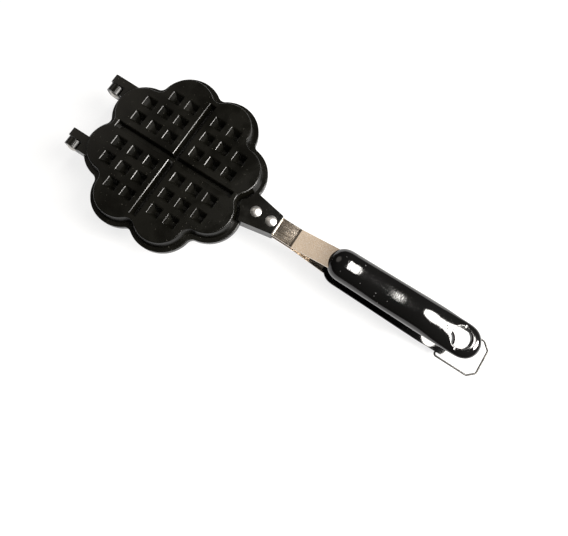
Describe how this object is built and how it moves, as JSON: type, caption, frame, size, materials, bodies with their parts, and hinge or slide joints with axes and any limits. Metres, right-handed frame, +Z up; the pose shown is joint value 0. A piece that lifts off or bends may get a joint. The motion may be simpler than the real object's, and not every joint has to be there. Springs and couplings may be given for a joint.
{
  "type": "heart waffle iron",
  "caption": "Hinged stove-top waffle iron: two dark lobed plates that press heart waffles, steel straps, black moulded grips and a wire bail latch.",
  "frame": {"origin": "centre of the closed iron's footprint, on the surface it lies on", "axes": "+X from the hinge to the grips, +Y to the left seen from the hinge, +Z up; the iron lies on the hinge end of its lower plate and the back of its lower grip, so its own length dips a few degrees towards +X"},
  "size_m": [0.448, 0.1688, 0.0575],
  "materials": {
    "coated_casting": "die-cast, satin black non-stick coating",
    "steel_strap": "stainless, lengthwise brushed, light scratches",
    "rivet_alloy": "bright, hand-set dome",
    "moulded_grip": "glossy black phenolic moulding",
    "steel_wire": "drawn wire, plain",
    "steel_pin": "turned, plain"
  },
  "bodies": {
    "lower_half": {"lower_plate": "coated_casting", "lower_strap": "steel_strap", "lower_inner_rivet": "rivet_alloy", "lower_outer_rivet": "rivet_alloy", "lower_grip": "moulded_grip", "lower_grip_pin": "steel_pin", "left_hinge_pin": "steel_pin", "right_hinge_pin": "steel_pin"},
    "upper_half": {"upper_plate": "coated_casting", "upper_strap": "steel_strap", "upper_inner_rivet": "rivet_alloy", "upper_outer_rivet": "rivet_alloy", "upper_grip": "moulded_grip", "upper_grip_pin": "steel_pin"},
    "bail": {"latch_bail": "steel_wire"}
  },
  "joints": [
    {"name": "plate_hinge", "type": "hinge", "parent": "lower_half", "child": "upper_half", "pos_m": [-0.21631, 0, 0.04363], "axis": [0, -1, 0], "range_deg": [0, 180]},
    {"name": "bail_pivot", "type": "hinge", "parent": "lower_half", "child": "bail", "pos_m": [0.1804, 0, 0.00749], "axis": [0, -1, 0], "range_deg": [-90, 90]}
  ]
}
